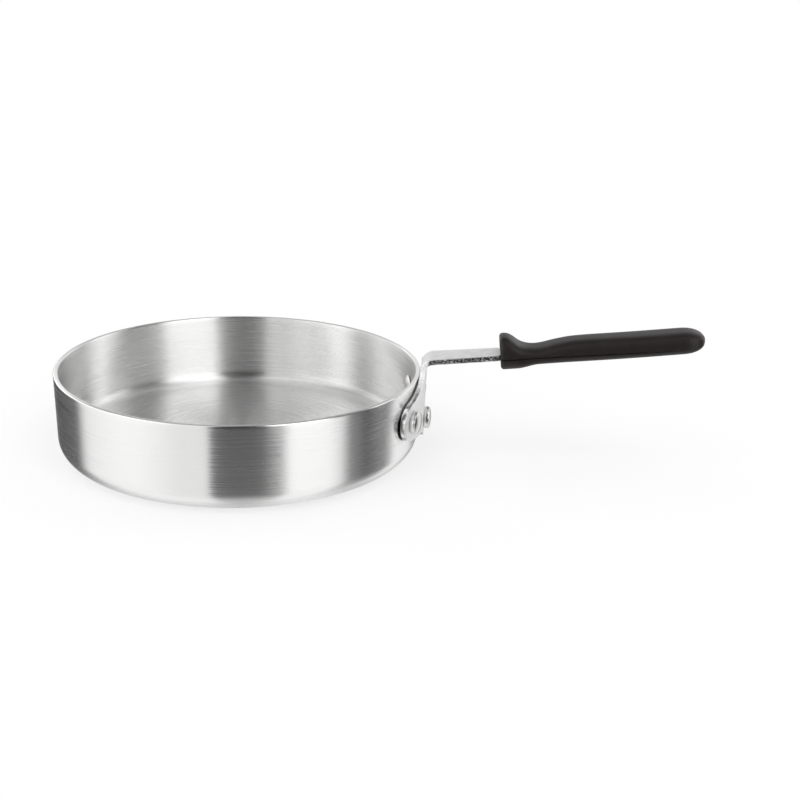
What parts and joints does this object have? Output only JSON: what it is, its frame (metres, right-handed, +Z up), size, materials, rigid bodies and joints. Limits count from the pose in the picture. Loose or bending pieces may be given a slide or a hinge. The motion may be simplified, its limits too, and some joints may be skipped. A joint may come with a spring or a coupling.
{
  "type": "saute pan",
  "caption": "Straight-sided open saute pan: a brushed aluminium body, a bent steel handle bracket riveted to its wall and a slip-on black rubber grip, for frying on a hob.",
  "frame": {"origin": "middle of the pan's flat underside", "axes": "+X along the handle, away from the pan; +Z up out of the pan"},
  "size_m": [0.4224, 0.24, 0.0937],
  "materials": {
    "brushed_aluminium": "brushed round the pan, satin",
    "plated_steel": "dull plated faces, rough sheared edges",
    "rivet_aluminium": "bright pressed heads",
    "black_rubber": "matt, finely textured"
  },
  "bodies": {
    "pan": {"pan_body": "brushed_aluminium", "handle_bracket": "plated_steel", "rivet_near": "rivet_aluminium", "rivet_far": "rivet_aluminium", "rivet_lower": "rivet_aluminium"},
    "grip": {"grip_sleeve": "black_rubber"}
  },
  "joints": [
    {"name": "grip_pull_off", "type": "slide", "parent": "pan", "child": "grip", "axis": [0.9936, 0, 0.1132], "range_m": [0, 0.1]}
  ]
}
